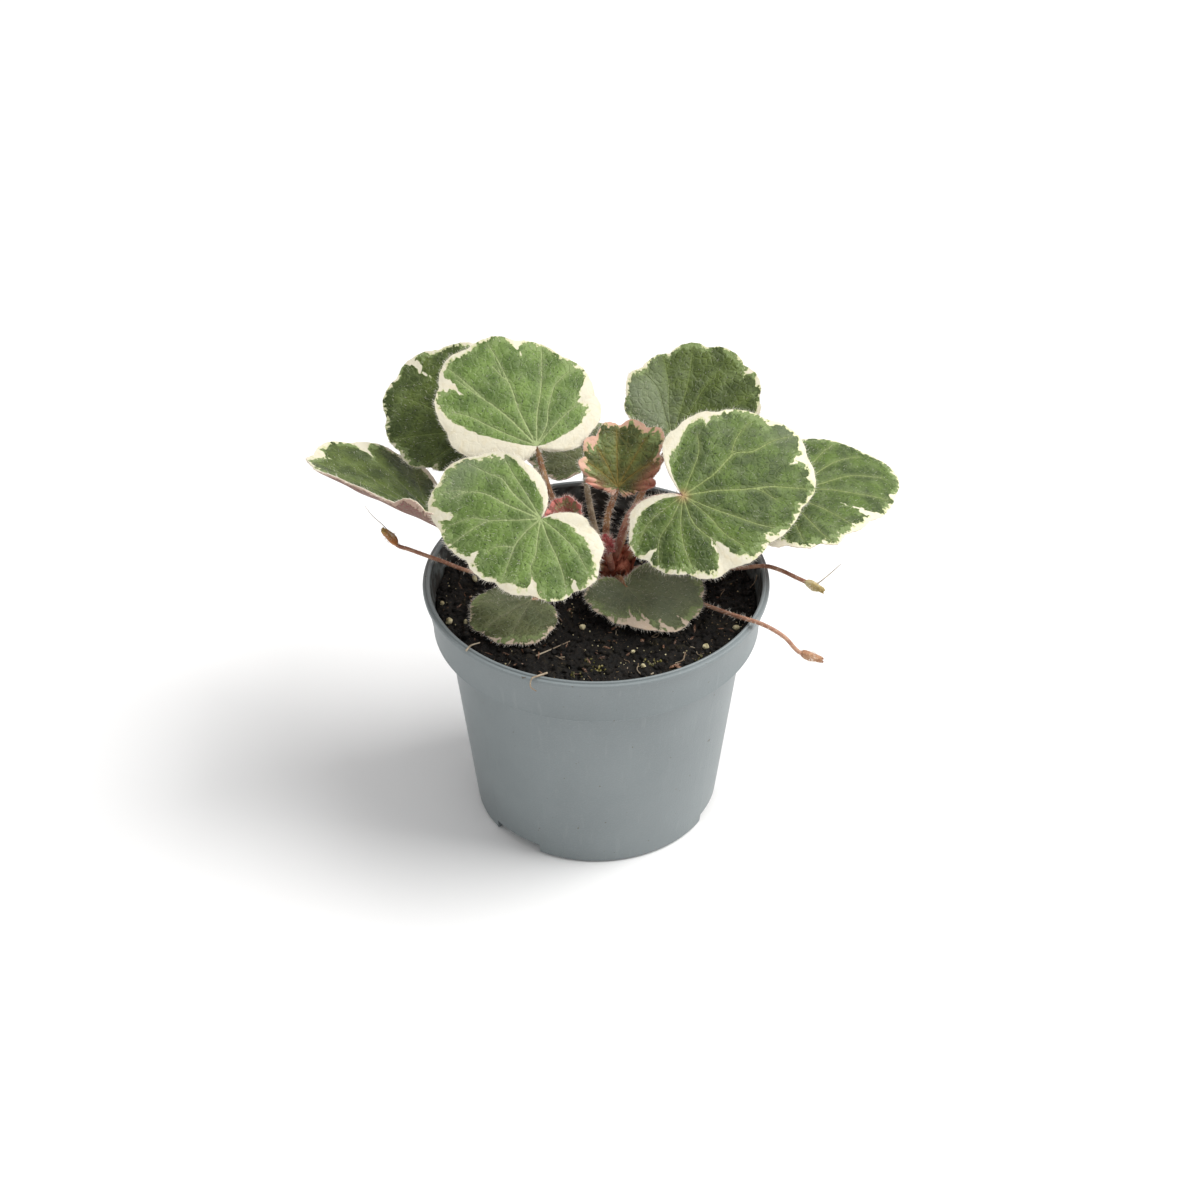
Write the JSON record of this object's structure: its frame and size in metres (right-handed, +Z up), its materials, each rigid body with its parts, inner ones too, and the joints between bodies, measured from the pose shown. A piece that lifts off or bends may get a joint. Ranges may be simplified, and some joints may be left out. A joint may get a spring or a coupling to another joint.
{
  "type": "potted strawberry saxifrage",
  "caption": "Young cream-edged strawberry saxifrage with round scalloped hairy leaves and thin runners, growing in a small tapered nursery pot.",
  "frame": {"origin": "centre of the pot's flat underside, on the surface that it stands on", "axes": "+Z up, -Y toward the front of the plant, +X to the viewer's right"},
  "size_m": [0.155, 0.097, 0.1186],
  "materials": {
    "pot_plastic": "matte",
    "peat": "rough",
    "crown_bark": "rough",
    "leaf": "matte",
    "young_leaf": "matte",
    "runner": "matte"
  },
  "bodies": {
    "root": {"pot": "pot_plastic", "soil": "peat", "crown": "crown_bark", "leaf_top": "leaf", "leaf_front_left": "leaf", "leaf_front_right": "leaf", "leaf_back_right": "leaf", "leaf_back_left": "leaf", "leaf_left": "leaf", "leaf_right": "leaf", "leaf_behind": "leaf", "leaf_young": "leaf", "leaf_low_left": "leaf", "leaf_low_right": "leaf", "bud_left": "young_leaf", "bud_centre": "young_leaf", "runner_left": "runner", "runner_right": "runner", "runner_front": "runner"}
  },
  "joints": []
}
